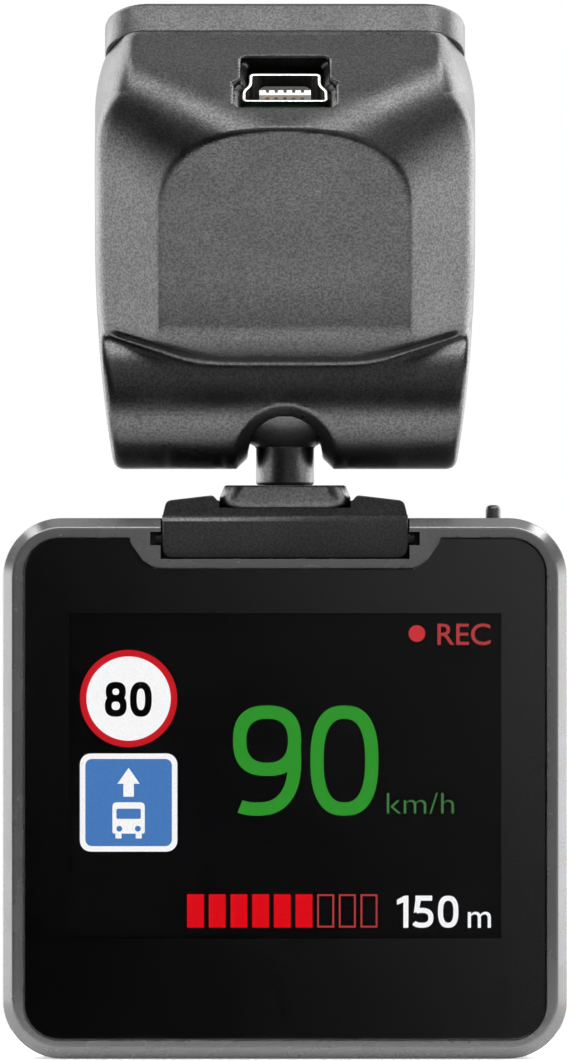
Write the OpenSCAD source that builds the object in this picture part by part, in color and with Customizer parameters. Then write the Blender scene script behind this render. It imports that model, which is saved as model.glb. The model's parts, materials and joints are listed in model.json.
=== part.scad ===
// Windscreen speed-camera and radar warner with a dash camera, in millimetres.
// The origin is the centre of the adhesive face, +Z is up, and the screen faces -Y.

/* [Windscreen head] */
// Width of the windscreen plate
plate_w = 33; // [32.6:0.1:33.2]
// Length of the windscreen plate along the glass
plate_len = 38; // [37:0.5:39]
// Thickness of the windscreen plate
plate_t = 3.2; // [3:0.1:3.3]
// Angle between the windscreen and the horizontal
plate_tilt = 30; // [29.5:0.5:30.5]
// Full width of the head housing
head_w = 34.8; // [34.6:0.1:35]
// Radius of the barrel that holds the ball
barrel_r = 7.4; // [7.3:0.1:7.5]
// Wall thickness of the head housing
head_wall = 1.5; // [1.4:0.1:1.6]

/* [Ball joint] */
// Radius of the ball
ball_r = 6; // [5.9:0.05:6]
// Radial clearance between the ball and its seat
ball_gap = 0.08; // [0.06:0.01:0.1]
// Radius of the stem under the ball
stem_r = 2.65; // [2.5:0.05:2.7]
// Half width of the slot that the stem moves in
slot_half = 3.4; // [3.35:0.05:3.5]

/* [Foot] */
// Width of the foot block
foot_w = 22.5; // [22.3:0.1:22.5]
// Depth of the foot block
foot_d = 13.6; // [13.4:0.1:13.7]

/* [Camera body] */
// Width of the camera body
body_w = 51.7; // [51.6:0.1:52]
// Height of the camera body
body_h = 49.5; // [49.4:0.1:49.7]
// Corner radius of the camera body
body_r = 5.4; // [5.3:0.1:5.5]
// Width of the cover glass
glass_w = 47.9; // [47.7:0.1:48]
// Height of the cover glass
glass_h = 46; // [45.8:0.1:46]
// Width of the lit picture area
view_w = 39.6; // [39:0.1:40]
// Height of the lit picture area
view_h = 29.8; // [29.4:0.1:30]

/* [Hidden] */
$fn = 48;
e = 0.05;                 // how far a cutting shape runs past a face
fit = 0.03;               // radial gap between a screw and its hole, or a key and its opening

// Heights and depths are measured from the centre of the ball.
plate_y = -8;             // rear edge of the plate's underside
plate_z = 32.6;
pad_t = 0.8;              // adhesive pad
pad_in = 2;               // margin between the pad and the plate's edge
plate_r = 4;
port_tilt = 44;           // how far the socket's face looks up
port_y = -12.2;           // middle of the socket's mouth, half a millimetre under the sloping face
port_z = 27.45;
port_gap = 1.3;           // open space above and below the socket's shell
rear_y = -16.5;           // top edge of the head's flat rear panel
panel_top = 23.6;
panel_lean = 20;          // how far the panel looks down
panel_half = 11.4;
belly_z = 3.3;
floor_z = belly_z + head_wall; // floor of the head's hollow
neck_y1 = 13;             // front of the neck between barrel and head
seat_r = ball_r + ball_gap;
stem_tilt = 35;           // how far the stem leans to the front and to the rear

foot_top = -8.9;
foot_base = -15.54;
foot_y0 = -6.2;
foot_edge = 0.3;          // depth of the bevel along the block's rear upper edge
foot_y1 = foot_y0 + foot_d;
shank_r = 1.9;            // swivel shank under the stem
swivel_gap = 0.05;
flange_r = 3.2;

body_top = -11.9;
body_mid = body_top - body_h / 2;
body_low = body_top - body_h;
frame_y0 = -6.8;          // rear face of the frame
frame_y1 = 8.6;           // where the frame meets the front shell
shell_y1 = 14;
turret_y1 = 18.6;         // round turret that holds the lens
glass_y0 = -7;
glass_t = 1.1;
glass_mid = -36.7;
glass_r = 3.3;
ledge_y = -5.7;           // recess in the frame that the gasket lies on
opening = [44, 40];       // hole in the frame behind the screen
opening_r = 2;
opening_z = -38;
view_mid = -35.5;
wall = 1.67;
bevel = 0.9;              // bevel round the rear of the frame
front_r = 2.4;            // rounding of the front shell's edge
dock_half = 11.4;         // pocket that the foot slides in
dock_floor = -15.66;
dock_y1 = foot_y1 + 0.15;
groove_x = 12.35;         // grooves in the pocket's sides for the foot's rails
groove_z = [-14.41, -13.15];
rail_x = 11.85;
rail_z = [-14.15, -13.45];
lens_z = -35.5;
lens_bore = 7.6;
turret_r = 11.8;
key_x = 19.1;
key_y = 0.2;
card_z = -45.2;
card_y = 4;
reset_x = 14;
reset_y = 1.5;
speaker_at = [9.5, -52.2];
speaker_pitch = 1.5;
mic_x = -13.5;
mic_z = -52.2;
wire_r = 0.8;
board_y = 1;
board_t = 1;

// Distance from the centre of the ball to the centre of the adhesive face
pad_up = plate_t + pad_t;
pad_mid_y = plate_y + plate_len / 2 * cos(plate_tilt) + pad_up * sin(plate_tilt);
pad_mid_z = plate_z - plate_len / 2 * sin(plate_tilt) + pad_up * cos(plate_tilt);

// ---------- helpers ----------

// Moves a shape modelled round the ball's centre into the part's own frame
module place() {
    translate([0, -pad_mid_y, -pad_mid_z]) children();
}

// Box between two corners
module block(x, y, z) {
    translate([x[0], y[0], z[0]]) cube([x[1] - x[0], y[1] - y[0], z[1] - z[0]]);
}

// Box centred on x = 0
module mid_block(half, y, z) {
    block([-half, half], y, z);
}

// Rod along Y
module rod_y(r, y, x = 0, z = 0) {
    translate([x, y[1], z]) rotate([90, 0, 0]) cylinder(r = r, h = y[1] - y[0]);
}

// Rod along X
module rod_x(r, x, y = 0, z = 0) {
    translate([x[0], y, z]) rotate([0, 90, 0]) cylinder(r = r, h = x[1] - x[0]);
}

// Rod along Z
module rod_z(r, z, x = 0, y = 0) {
    translate([x, y, z[0]]) cylinder(r = r, h = z[1] - z[0]);
}

// Outline drawn in X and Z, with thickness along Y
module slab_y(y) {
    translate([0, y[1], 0]) rotate([90, 0, 0]) linear_extrude(y[1] - y[0]) children();
}

// Outline drawn in Y and Z, with thickness along X
module slab_x(x) {
    translate([x[0], 0, 0]) rotate([90, 0, 90]) linear_extrude(x[1] - x[0]) children();
}

// Rounded rectangle
module round_rect(w, h, r) {
    square([w - 2 * r, h], center = true);
    square([w, h - 2 * r], center = true);
    for (sx = [-1, 1], sy = [-1, 1])
        translate([sx * (w / 2 - r), sy * (h / 2 - r)]) circle(r);
}

// Rounded rectangle slab that faces along Y, centred at height z
module round_slab(w, h, r, y, z) {
    slab_y(y) translate([0, z]) round_rect(w, h, r);
}

// Shape with its left-hand twin
module both_sides() {
    children();
    mirror([1, 0, 0]) children();
}

// Frame of the windscreen plate: x across, y down the slope, z out of the glass side
module on_plate() {
    translate([0, plate_y, plate_z]) rotate([-plate_tilt, 0, 0]) children();
}

// Frame of the socket: z points out of the socket, y points up its face
module on_port() {
    translate([0, port_y, port_z]) rotate([port_tilt, 0, 0]) children();
}

// Tube that follows a list of points in one plane of constant x
function tube_ring(p, d, r, n) =
    let (side = [1, 0, 0], up = cross(side, d))
    [for (k = [0 : n - 1]) p + r * (cos(360 * k / n) * side + sin(360 * k / n) * up)];
function unit(v) = v / norm(v);
module tube(path, r, n = 8) {
    last = len(path) - 1;
    dirs = [for (i = [0 : last]) unit(path[min(i + 1, last)] - path[max(i - 1, 0)])];
    points = [for (i = [0 : last]) each tube_ring(path[i], dirs[i], r, n)];
    sides = [for (i = [0 : last - 1], k = [0 : n - 1])
        [i * n + k, (i + 1) * n + k, (i + 1) * n + (k + 1) % n, i * n + (k + 1) % n]];
    start = [for (k = [0 : n - 1]) k];
    end = [for (k = [n - 1 : -1 : 0]) last * n + k];
    polyhedron(points, concat([start, end], sides));
}

// Pan-head screw that points down, with a cross slot; the origin is under the head
module screw(r, length, head_r, head_t) {
    translate([0, 0, -length]) cylinder(r = r, h = length + e);
    difference() {
        cylinder(r = head_r, h = head_t);
        for (a = [0, 90])
            rotate([0, 0, a]) translate([0, 0, head_t]) cube([head_r * 1.2, head_r * 0.28, head_t], center = true);
    }
}

// ---------- windscreen head ----------

post_x = 12.4;
post_y = [5, plate_len - 7];
post_h = 9;               // how far the posts hang below the plate
plate_screw_r = 1;
plate_head_r = 1.9;
plate_sink = 1.4;         // depth of the countersink in the plate

// Repeats a shape at the four screw posts; its +X side always faces the side wall
module at_posts() {
    on_plate() both_sides() for (y = post_y) translate([post_x, y, 0]) children();
}

module adhesive_pad() {
    color("dimgray") place() on_plate()
        translate([0, plate_len / 2, plate_t]) linear_extrude(pad_t)
            round_rect(plate_w - 2 * pad_in, plate_len - 2 * pad_in, plate_r - 1);
}

module windscreen_plate() {
    color("gray") place() on_plate() difference() {
        translate([0, plate_len / 2, 0]) linear_extrude(plate_t) round_rect(plate_w, plate_len, plate_r);
        both_sides() for (y = post_y) translate([post_x, y, 0]) {
            translate([0, 0, -e]) cylinder(r = plate_screw_r + 0.1, h = plate_t);
            translate([0, 0, plate_t - plate_sink]) cylinder(r = plate_head_r + 0.2, h = plate_sink + e);
        }
    }
}

module plate_screws() {
    color("silver") place() at_posts() translate([0, 0, plate_t - plate_sink])
        screw(plate_screw_r, 7, plate_head_r, plate_sink - 0.2);
}

// Flat rear panel with an arched top edge
module panel_outline(half, low, top) {
    polygon([[-half, low], [half, low], [half, top - 2.6], [half * 0.74, top - 0.9], [0, top],
             [-half * 0.74, top - 0.9], [-half, top - 2.6]]);
}

// How far back the leaning rear panel is at height z
function lean_y(z) = rear_y + (panel_top - z) * tan(panel_lean);

// Closed shape of the upper head, moved in from the outside by t
module head_form(t) {
    half = head_w / 2 - t;
    brow = 4.7;  // from the panel's top edge to the side wall's rear edge
    hull() {
        on_plate() translate([0, plate_len / 2, -e]) linear_extrude(e)
            round_rect(plate_w - 2 * t, plate_len - 2 * t, plate_r - t);
        translate([0, rear_y + t, panel_top]) rotate([panel_lean, 0, 0]) slab_y([0, e])
            panel_outline(panel_half, (belly_z + 0.6 + t - panel_top) / cos(panel_lean), 0);
        slab_x([-half, half]) polygon([
            [lean_y(5.6) + brow, 5.6 + t], [rear_y + brow, panel_top - t], [rear_y + brow + 4.6, panel_top + 4 - t],
            [6, 21.6 - t], [19.5 - t, 13.4 - t], [19 - t, 11.4 + t], [3, 5 + t]]);
        slab_x([-13.2, 13.2]) polygon([
            [lean_y(belly_z) + 0.6 + t, belly_z + t], [0, belly_z + t], [22.5 - t, 10.6 + t], [23 - t, 12.6]]);
    }
}

// Round barrel and the neck above it, with sides that lean in towards the lower edge
module neck() {
    intersection() {
        slab_x([-20, 20]) {
            circle(barrel_r, $fn = 96);
            polygon([[-6.4, 0], [6.4, -3.7], [neck_y1, floor_z], [-6.4, floor_z]]);
        }
        slab_y([-10, neck_y1 + 1]) both_sides()
            polygon([[0, -8], [15.6, -8], [17.2, 3.6], [17.2, floor_z], [0, floor_z]]);
    }
}

// Screw post with a rib out to the side wall and a low rib inwards that the antenna board rests on
module post() {
    rib = 1.2;
    translate([0, 0, -post_h]) cylinder(r = 2.4, h = post_h);
    translate([0, -rib / 2, -post_h]) cube([5, rib, post_h]);
    translate([-3.6, -rib / 2, -post_h]) cube([3.6, rib, post_h + antenna_z - antenna_board_t]);
}

// Slot for the stem: a straight channel with a wider mouth at each side of the barrel
module stem_slot() {
    slab_y([-12, 12]) {
        translate([0, -6.2]) circle(slot_half);
        translate([-slot_half, -12]) square([2 * slot_half, 12 - 6.2]);
        polygon([[-slot_half, -6.4], [slot_half, -6.4], [slot_half + 1.2, -7.5], [-slot_half - 1.2, -7.5]]);
    }
    for (turn = [90, -90]) translate([0, 0, -6.2]) rotate([turn, 0, 0]) translate([0, 0, 3.4])
        cylinder(r1 = slot_half - 0.6, r2 = slot_half + 2.1, h = 5);
    for (turn = [stem_tilt, -stem_tilt]) rotate([turn, 0, 0]) rod_z(slot_half, [-9, 0]);
}

// Outline of the socket's metal shell, grown sideways by gx and up and down by gy
module usb_outline(gx = 0, gy = 0) {
    step = [0.3, -0.35];  // heights where the shell's sides step out
    both_sides() polygon([[0, 1.9 + gy], [3.3 + gx, 1.9 + gy], [3.3 + gx, step[0] + gx / 2],
                          [3.92 + gx, step[1] + gx / 2], [3.92 + gx, -1.9 - gy], [0, -1.9 - gy]]);
}

clamp_x = 9.5;
clamp_half = 12;
clamp_top = 8.2;
clamp_hub_r = 5.6;
clamp_screw_r = 0.95;

// Space that the clamp sits in, grown by g
module clamp_form(low, g = 0) {
    mid_block(clamp_half + g, [-4 - g, 4 + g], [low, clamp_top]);
    rod_z(clamp_hub_r + g, [low, clamp_top]);
}

module head_housing() {
    color("dimgray") place() difference() {
        union() {
            difference() {
                head_form(0);
                head_form(head_wall);
            }
            neck();
            intersection() {
                head_form(0.3);
                at_posts() post();
            }
        }
        sphere(seat_r, $fn = 96);
        rod_z(seat_r, [0, floor_z + 4], $fn = 96);
        clamp_form(floor_z, 0.2);
        stem_slot();
        at_posts() translate([0, 0, -7]) cylinder(r = plate_screw_r + fit, h = 8);
        both_sides() rod_z(clamp_screw_r + fit, [-1.5, floor_z + 1], clamp_x);
        on_port() {
            translate([0, 0, -6]) linear_extrude(8) usb_outline(0.2, port_gap);
            translate([0, 0, -0.4]) linear_extrude(4) usb_outline(0.8, port_gap);
        }
    }
}

antenna_z = -4.6;         // top of the antenna board, below the plate
antenna_board_t = 0.8;

module antenna_board() {
    color("darkgreen") place() on_plate()
        mid_block(9.8, [post_y[0] - 0.6, post_y[1] + 0.6], [antenna_z - antenna_board_t, antenna_z]);
}

module patch_antenna() {
    color("tan") place() on_plate() mid_block(9, [9, 27], [antenna_z, antenna_z + 4]);
}

module socket_board() {
    color("darkgreen") place() on_port() mid_block(5.6, [-3.1, -2.1], [-12.5, -1.9]);
}

module usb_shell() {
    color("silver") place() on_port() difference() {
        translate([0, 0, -8.6]) linear_extrude(8.6) usb_outline();
        translate([0, 0, -8.2]) linear_extrude(9) usb_outline(-0.3, -0.3);
    }
}

// Contact tongue, with the block behind it that closes the shell
tongue_half = 2.36;
tongue_y = [-0.7, 0.5];
tongue_tip = -0.35;
contact_pitch = 0.8;

module usb_tongue() {
    color("black") place() on_port() {
        mid_block(tongue_half, tongue_y, [-8.2, tongue_tip]);
        mid_block(2.9, [-1.55, 1.5], [-8.2, -7.2]);
    }
}

module usb_contacts() {
    color("gold") place() on_port()
        for (i = [-2 : 2]) translate([i * contact_pitch, 0, 0])
            mid_block(0.15, [tongue_y[0] - 0.12, tongue_y[0]], [-7.2, tongue_tip - 0.2]);
}

// Route of the lead from the socket board to the top of the ball clamp
lead_path = [[0, -5.38, 16.64], [0, -4.41, 15.6], [0, -3.5, 14.5], [0, -2.6, 13.2], [0, -1.6, 11.9],
             [0, -0.7, 10.7], [0, -0.1, 9.5], [0, 0, 8.4], [0, 0, 6.5]];

module head_wires() {
    color("black") place() tube(lead_path, wire_r);
}

module ball_clamp() {
    color("dimgray") place() difference() {
        clamp_form(floor_z + 0.4);
        sphere(seat_r, $fn = 96);
        rod_z(1.6, [4, 9]);
        both_sides() rod_z(1.15, [4, 9], clamp_x);
    }
}

// Two cone washers face to face on each clamp screw
module clamp_washers() {
    color("silver") place() both_sides() translate([clamp_x, 0, clamp_top]) {
        rotate_extrude() polygon([[1.15, 0.5], [1.15, 0.8], [2.3, 0.3], [2.3, 0]]);
        rotate_extrude() polygon([[1.15, 0.8], [1.15, 1.1], [2.3, 1.6], [2.3, 1.3]]);
    }
}

module clamp_screws() {
    color("silver") place() both_sides() translate([clamp_x, 0, clamp_top + 1.6])
        screw(clamp_screw_r, 9.5, 2, 1.2);
}

// ---------- ball and foot ----------

module ball_wires() {
    color("black") place() rod_z(wire_r, [-5, 5]);
}

module ball_stud() {
    color("black") place() difference() {
        union() {
            sphere(ball_r, $fn = 96);
            rod_z(stem_r, [foot_top + 0.02, -4]);
            rod_z(shank_r, [-13, foot_top + 1]);
            rod_z(flange_r - 0.15, [-13, -12.2]);
        }
        rod_z(1.6, [-6.2, 6.2]);
        rod_z(1.2, [-14, -6]);
    }
}

foot_screw_r = 0.7;
foot_screw_z = -14.02;    // under the screws' heads

module at_foot_screws() {
    both_sides() translate([4.6, 0.6, foot_screw_z]) children();
}

// Raised cap with sloping ends, over shoulders that fall away to each side
module foot_cap() {
    color("dimgray") place() difference() {
        slab_y([foot_y0 - 0.25, foot_y1 - 0.6]) polygon([
            [-5.56, foot_top], [5.56, foot_top], [6.0, -10.05], [6.0, -10.6], [5.6, -10.96],
            [-5.6, -10.96], [-6.0, -10.6], [-6.0, -10.05]]);
        rod_z(shank_r + swivel_gap, [-11, -8]);
        at_foot_screws() cylinder(r = foot_screw_r + fit, h = 4);
    }
}

module foot_block() {
    color("dimgray") place() difference() {
        union() {
            slab_y([foot_y0 + foot_edge, foot_y1]) polygon([
                [-10.9, -10.3], [-6.6, -9.8], [-6.2, -10.3], [6.2, -10.3], [6.6, -9.8], [10.9, -10.3],
                [foot_w / 2, -11.7], [-foot_w / 2, -11.7]]);
            slab_x([-foot_w / 2, foot_w / 2]) polygon([
                [foot_y0, foot_base], [foot_y1, foot_base], [foot_y1, -11.7], [foot_y0 + foot_edge, -11.7],
                [foot_y0, -12.2]]);
            both_sides() block([foot_w / 2 - 1, rail_x], [foot_y0 + 0.6, foot_y1 - 0.6], rail_z);
        }
        mid_block(6.02, [foot_y0 - 1, foot_y1 - 0.58], [-10.96, -9]);
        rod_z(shank_r + swivel_gap, [-13, -10]);
        rod_z(flange_r, [-14, -12.1]);
        mid_block(9, [-3.4, 5.4], [foot_base - 1, -14]);
        at_foot_screws() translate([0, 0, -1]) cylinder(r = foot_screw_r + fit, h = 5);
    }
}

// Screws from below that hold the cap to the block
module foot_screws() {
    color("silver") place() at_foot_screws() rotate([180, 0, 0]) screw(foot_screw_r, 3.9, 1.3, 0.3);
}

module foot_board() {
    color("darkgreen") place() difference() {
        mid_block(8.9, [-3.3, 5.3], [foot_base + 0.25, -14.4]);
        rod_z(0.9, [-16, -14], 0, 3.8);
    }
}

pin_x = [-4.5, -1.5, 1.5, 4.5];

module foot_contacts() {
    color("gold") place() for (x = pin_x) block([x - 0.9, x + 0.9], [-1.5, 1.5], [foot_base, foot_base + 0.25]);
}

// ---------- camera body ----------

// Slab with the body's outline, moved in by t
module body_slab(t, y) {
    round_slab(body_w - 2 * t, body_h - 2 * t, body_r - t, y, body_mid);
}

// Outline of the cover glass with its notch round the foot, grown by g
module glass_outline(g = 0) {
    difference() {
        translate([0, glass_mid]) round_rect(glass_w + 2 * g, glass_h + 2 * g, glass_r + g);
        polygon([[-14.2 + g, -10], [14.2 - g, -10], [14.2 - g, -13.9], [13.2 - g, -15.6], [11.9 - g, -16.5 + g],
                 [-11.9 + g, -16.5 + g], [-13.2 + g, -15.6], [-14.2 + g, -13.9]]);
    }
}

screw_x = 21.2;
screw_z = [-16.4, -56.9];
post_r = 2.7;
shell_screw_r = 0.8;
board_screw_x = 17.5;
board_screw_z = [-21.5, -54];
board_screw_r = 0.7;

module at_board_screws() {
    for (sx = [-1, 1], z = board_screw_z) translate([sx * board_screw_x, 0, z]) children();
}

module at_shell_screws() {
    for (sx = [-1, 1], z = screw_z) translate([sx * screw_x, 0, z]) children();
}

module rear_frame() {
    color("silver") place() difference() {
        union() {
            difference() {
                hull() {
                    body_slab(0, [frame_y0 + bevel, frame_y1]);
                    body_slab(bevel, [frame_y0, frame_y1]);
                }
                slab_y([frame_y0 - 1, ledge_y]) glass_outline(0.06);
                round_slab(opening[0], opening[1], opening_r, [-6, 0], opening_z);
                body_slab(wall, [-4.7, frame_y1 + 1]);
            }
            mid_block(14, [-5, frame_y1], [-16.8, body_top - wall - e]);
            at_shell_screws() rod_y(post_r, [4.1, frame_y1]);
        }
        mid_block(dock_half, [frame_y0 - 1, dock_y1], [dock_floor, body_top + 1]);
        both_sides() block([dock_half - e, groove_x], [frame_y0 - 1, dock_y1], groove_z);
        mid_block(6.1, [-2, 2], [-17, dock_floor + e]);
        mid_block(3, [3.4, 6.8], [-17, dock_floor + e]);
        at_shell_screws() rod_y(shell_screw_r + fit, [4, 10]);
        block([key_x - 0.85, key_x + 0.85], [key_y - 3.15, key_y + 3.15], [body_top - wall - 1, body_top + 1]);
        block([-30, -20], [card_y - 0.65, card_y + 0.65], [card_z - 5.7, card_z + 5.7]);
        rod_y(3.2, [card_y - 1.6, card_y + 1.6], -27.6, card_z);
        rod_z(0.9, [body_low - 1, body_low + 3], reset_x, reset_y);
        rod_z(0.5, [body_low - 1, body_low + 3], -reset_x, reset_y);
    }
}

module front_shell() {
    color("dimgray") place() difference() {
        union() {
            difference() {
                hull() for (a = [0 : 18 : 90])
                    body_slab(front_r * (1 - cos(a)), [frame_y1, shell_y1 - front_r * (1 - sin(a))]);
                body_slab(wall, [frame_y1 - 1, shell_y1 - 1.5]);
            }
            rod_y(turret_r, [shell_y1 - 1.5, turret_y1], 0, lens_z, $fn = 96);
            at_shell_screws() rod_y(post_r, [frame_y1, shell_y1 - 1]);
            at_board_screws() rod_y(1.8, [board_y + board_t, shell_y1 - 1]);
        }
        rod_y(lens_bore, [shell_y1 - 2, turret_y1 + 1], 0, lens_z, $fn = 96);
        at_shell_screws() {
            rod_y(1.1, [frame_y1 - 1, shell_y1 + 1]);
            rod_y(2, [shell_y1 - 1.2, shell_y1 + 1]);
        }
        at_board_screws() rod_y(board_screw_r + fit, [board_y, board_y + 6]);
        for (i = [-3 : 3], j = [-1 : 1])
            rod_y(0.45, [shell_y1 - 2, shell_y1 + 1], speaker_at[0] + i * speaker_pitch,
                  speaker_at[1] + j * speaker_pitch, $fn = 16);
        rod_y(0.5, [shell_y1 - 2, shell_y1 + 1], mic_x, mic_z, $fn = 16);
    }
}

module cover_glass() {
    color("black") place() slab_y([glass_y0, glass_y0 + glass_t]) glass_outline();
}

module glass_mask() {
    color("black") place() slab_y([glass_y0 + glass_t, glass_y0 + glass_t + 0.05]) difference() {
        glass_outline(-0.1);
        translate([0, view_mid]) square([view_w, view_h], center = true);
    }
}

module glass_gasket() {
    color("dimgray") place() slab_y([glass_y0 + glass_t + 0.05, ledge_y]) difference() {
        glass_outline(-0.15);
        translate([0, opening_z]) round_rect(opening[0], opening[1], opening_r);
    }
}

module display_panel() {
    color("black") place() mid_block(21.8, [-5.6, -4.2], [-53.4, -19]);
}

module backlight() {
    color("silver") place() mid_block(21.8, [-4.2, -2.2], [-53.4, -19]);
}

module display_flex() {
    color("orange") place() {
        mid_block(6, [-2.2, -2], [-55.2, -40]);
        mid_block(6, [-2.2, board_y - 0.1], [-55.4, -55.2]);
        mid_block(6, [board_y - 0.1, board_y], [-55.4, -53.4]);
    }
}

module main_board() {
    color("darkgreen") place() difference() {
        union() {
            mid_block(22.4, [board_y, board_y + board_t], [-57, -18]);
            block([16.6, 21.6], [board_y, board_y + board_t], [-18.1, -14.7]);
        }
        at_board_screws() rod_y(board_screw_r + 0.2, [0, 3]);
        block([-25, -8.5], [0, 3], [card_z - 6.4, card_z + 6.4]);
    }
}

module processor() {
    color("black") place() mid_block(6, [board_y - 1.2, board_y], [-41.5, -29.5]);
}

module heat_spreader() {
    color("silver") place() mid_block(8, [board_y - 1.8, board_y - 1.2], [-43.5, -27.5]);
}

module memory_chips() {
    color("black") place() {
        block([10, 17], [board_y - 1, board_y], [-41, -30]);
        block([-17, -10.5], [board_y - 1, board_y], [-36.5, -28.5]);
    }
}

module sensor_board() {
    color("darkgreen") place() mid_block(7.2, [3.2, 4], [lens_z - 7.2, lens_z + 7.2]);
}

module image_sensor() {
    color("gray") place() mid_block(3.2, [4, 5], [lens_z - 3.2, lens_z + 3.2]);
}

module infrared_filter() {
    color("crimson") place() mid_block(3.4, [5.6, 6], [lens_z - 3.4, lens_z + 3.4]);
}

module lens_holder() {
    color("black") place() difference() {
        union() {
            mid_block(7, [4, 8], [lens_z - 7, lens_z + 7]);
            rod_y(7, [8, 12], 0, lens_z);
        }
        mid_block(3.4, [3, 6], [lens_z - 3.4, lens_z + 3.4]);
        rod_y(3, [5, 9], 0, lens_z);
        rod_y(5.5, [8, 13], 0, lens_z);
    }
}

module lens_barrel() {
    color("black") place() difference() {
        union() {
            rod_y(5.5, [8.2, 15], 0, lens_z);
            rod_y(6.8, [14, 18], 0, lens_z);
        }
        rod_y(3.6, [8, 16], 0, lens_z);
        rod_y(5.4, [15.8, 19], 0, lens_z);
    }
}

// Lens with two bulging faces and a thin rim; r is its radius and bulge its half thickness
module lens(r, bulge, y, rim = 0.15) {
    steps = 8;
    face = [for (i = [0 : steps]) let (t = i / steps) [r * t, rim + (bulge - rim) * (1 - t * t)]];
    back = [for (i = [steps : -1 : 0]) [face[i][0], -face[i][1]]];
    translate([0, y, lens_z]) rotate([-90, 0, 0]) rotate_extrude($fn = 96) polygon(concat(face, back));
}

module rear_lens() {
    color("lightblue") place() lens(3.5, 0.7, 9.4);
}

module middle_lens() {
    color("lightblue") place() lens(3.5, 0.8, 12.6);
}

module front_lens() {
    color("lightblue") place() lens(5.3, 1, 16.9);
}

module lens_ring() {
    color("silver") place() translate([0, turret_y1, lens_z]) rotate([-90, 0, 0]) rotate_extrude($fn = 96)
        polygon([[7.2, -0.6], [lens_bore - fit, -0.6], [lens_bore - fit, 0], [11.3, 0], [11.3, 0.6], [10.6, 1.4],
                 [9.6, 1.4], [7.2, 0.3]]);
}

module speaker() {
    color("black") place() difference() {
        rod_y(5, [8.9, 12.3], speaker_at[0], speaker_at[1]);
        rod_y(4.2, [11.6, 13], speaker_at[0], speaker_at[1]);
    }
}

module speaker_mesh() {
    color("gray") place() block([speaker_at[0] - 5.2, speaker_at[0] + 5.2], [12.3, 12.5],
        [speaker_at[1] - 2.3, speaker_at[1] + 2.3]);
}

module microphone() {
    color("silver") place() block([mic_x - 1.7, mic_x + 1.7], [11.2, 12.4], [mic_z - 1.2, mic_z + 1.2]);
}

module battery() {
    color("lightgray") place() block([-22.5, -9], [5.5, 10.5], [-38, -24]);
}

module card_socket() {
    color("silver") place() difference() {
        block([-23.6, -8.8], [2.3, 5.2], [card_z - 6.6, card_z + 6.6]);
        block([-24, -9.4], [card_y - 0.62, card_y + 0.62], [card_z - 5.6, card_z + 5.6]);
    }
}

module memory_card() {
    color("black") place() {
        block([-24.6, -9.9], [card_y - 0.38, card_y + 0.38], [card_z - 5.5, card_z + 5.5]);
        block([-24.6, -23.9], [card_y - 0.52, card_y - 0.3], [card_z - 5.2, card_z + 5.2]);
    }
}

module contact_block() {
    color("black") place() difference() {
        mid_block(6, [-1.9, 1.9], [-17.9, dock_floor]);
        for (x = pin_x) rod_z(0.45, [-18.3, -15], x);
    }
}

module contact_pins() {
    color("gold") place() for (x = pin_x) rod_z(0.45, [-18.2, foot_base - 0.06], x);
}

// Leaf spring whose raised middle catches the foot
module latch_spring() {
    color("silver") place() slab_x([-2.4, 2.4]) polygon([
        [3.6, -16.7], [6.6, -16.7], [6.6, -16.5], [6.1, -16.5], [5.4, -15.85], [4.8, -15.85], [4.1, -16.5],
        [3.6, -16.5]]);
}

module power_switch() {
    color("silver") place() {
        block([key_x - 1.75, key_x + 1.75], [board_y - 1.6, board_y], [-16.6, -14.8]);
        block([key_x - 0.7, key_x + 0.7], [board_y - 1.2, board_y - 0.4], [-14.8, -14.5]);
    }
}

// Rounded bar with a collar inside the wall
module power_key() {
    color("dimgray") place() {
        slab_x([key_x - 0.67, key_x + 0.67]) {
            translate([key_y - 3, body_top - 2]) square([6, 2.6]);
            translate([key_y, body_top + 0.55]) round_rect(6, 1.3, 0.6);
        }
        block([key_x - 1.5, key_x + 1.5], [key_y - 3.5, key_y + 3.5], [body_top - 2.2, body_top - wall - 0.1]);
    }
}

module reset_switch() {
    color("silver") place() block([reset_x - 1.75, reset_x + 1.75], [board_y - 0.6, board_y], [-57, -54.8]);
}

module reset_key() {
    color("dimgray") place() {
        rod_z(0.8, [body_low + 0.7, -57.6], reset_x, reset_y);
        rod_z(1.4, [-59.6, -59], reset_x, reset_y);
    }
}

module board_screws() {
    color("silver") place() at_board_screws()
        translate([0, board_y, 0]) rotate([90, 0, 0]) screw(board_screw_r, 5, 1.4, 0.6);
}

module shell_screws() {
    color("silver") place() at_shell_screws()
        translate([0, shell_y1 - 1.2, 0]) rotate([-90, 0, 0]) screw(shell_screw_r, 8, 1.8, 0.9);
}

adhesive_pad();
windscreen_plate();
head_housing();
plate_screws();
antenna_board();
patch_antenna();
socket_board();
usb_shell();
usb_tongue();
usb_contacts();
head_wires();
ball_clamp();
clamp_washers();
clamp_screws();
ball_wires();
ball_stud();
foot_cap();
foot_block();
foot_board();
foot_contacts();
foot_screws();
rear_frame();
front_shell();
cover_glass();
glass_mask();
glass_gasket();
display_panel();
backlight();
display_flex();
main_board();
processor();
heat_spreader();
memory_chips();
sensor_board();
image_sensor();
infrared_filter();
lens_holder();
lens_barrel();
rear_lens();
middle_lens();
front_lens();
lens_ring();
speaker();
speaker_mesh();
microphone();
battery();
card_socket();
memory_card();
contact_block();
contact_pins();
latch_spring();
power_switch();
power_key();
reset_switch();
reset_key();
board_screws();
shell_screws();
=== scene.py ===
"""Looks, light and camera for the windscreen speed-camera warner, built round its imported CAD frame.

Pieces are modelled in millimetres round the centre of the ball joint: x across, y away from the
driver and z up. row() takes such a point into the frame's metres.
"""
import json
import math

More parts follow.
